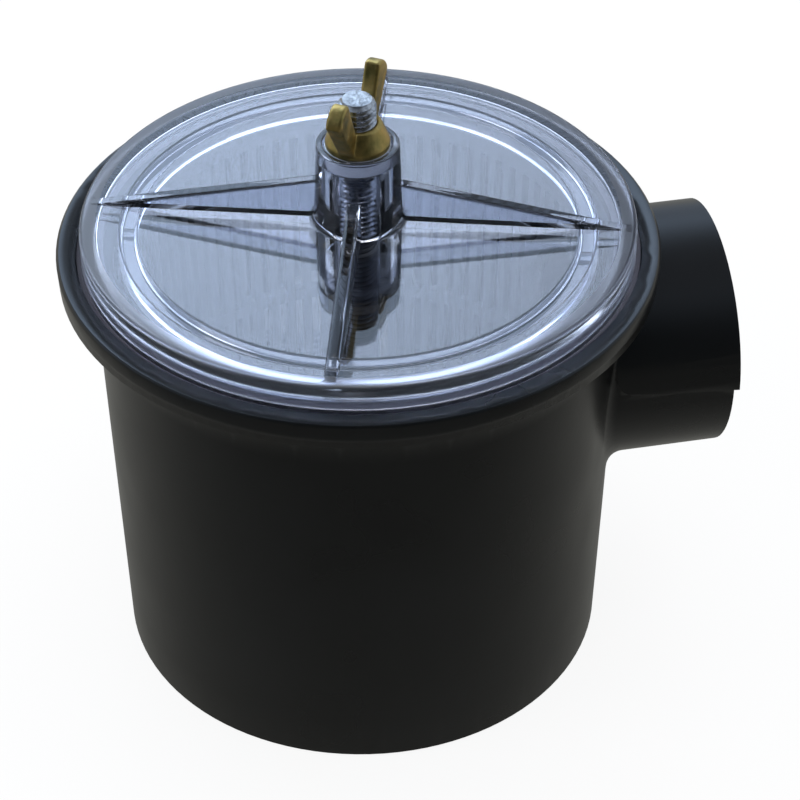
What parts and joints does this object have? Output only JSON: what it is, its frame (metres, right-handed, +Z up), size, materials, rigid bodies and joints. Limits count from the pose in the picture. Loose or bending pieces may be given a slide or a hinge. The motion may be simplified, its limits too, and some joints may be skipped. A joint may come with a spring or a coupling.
{
  "type": "sea water strainer",
  "caption": "Moulded cup strainer with two threaded side ports, a slotted basket and a clear ribbed lid held down by a wing nut on a central stud.",
  "frame": {"origin": "centre of the flat underside of the cup", "axes": "+Z up along the stud, +X out of the inlet port, +Y out of the outlet port"},
  "size_m": [0.1424, 0.1425, 0.1399],
  "materials": {
    "housing_plastic": "satin black moulded plastic",
    "clear_lid": "clear moulded plastic with a blue tint",
    "basket_plastic": "grey moulded plastic",
    "gasket_rubber": "black rubber",
    "stud_steel": "bright stainless thread",
    "nut_brass": "dulled cast brass",
    "insert_brass": "turned brass"
  },
  "bodies": {
    "cup": {"housing": "housing_plastic", "stud_insert": "insert_brass", "stud": "stud_steel", "basket": "basket_plastic", "lid_gasket": "gasket_rubber"},
    "cover": {"lid": "clear_lid", "stud_seal": "gasket_rubber"},
    "washer": {"plain_washer": "stud_steel"},
    "nut": {"wing_nut": "nut_brass"}
  },
  "joints": [
    {"name": "lid_lift", "type": "slide", "parent": "cup", "child": "cover", "axis": [0, 0, 1], "range_m": [0, 0.06]},
    {"name": "nut_rise", "type": "slide", "parent": "cover", "child": "washer", "axis": [0, 0, 1], "range_m": [0, 0.011]},
    {"name": "nut_turn", "type": "hinge", "parent": "washer", "child": "nut", "pos_m": [0, 0, 0.13], "axis": [0, 0, 1], "range_deg": [0, 3150]}
  ],
  "couplings": [
    {"joint": "nut_rise", "follows": "nut_turn", "m_per_rad": 0.00019894}
  ]
}
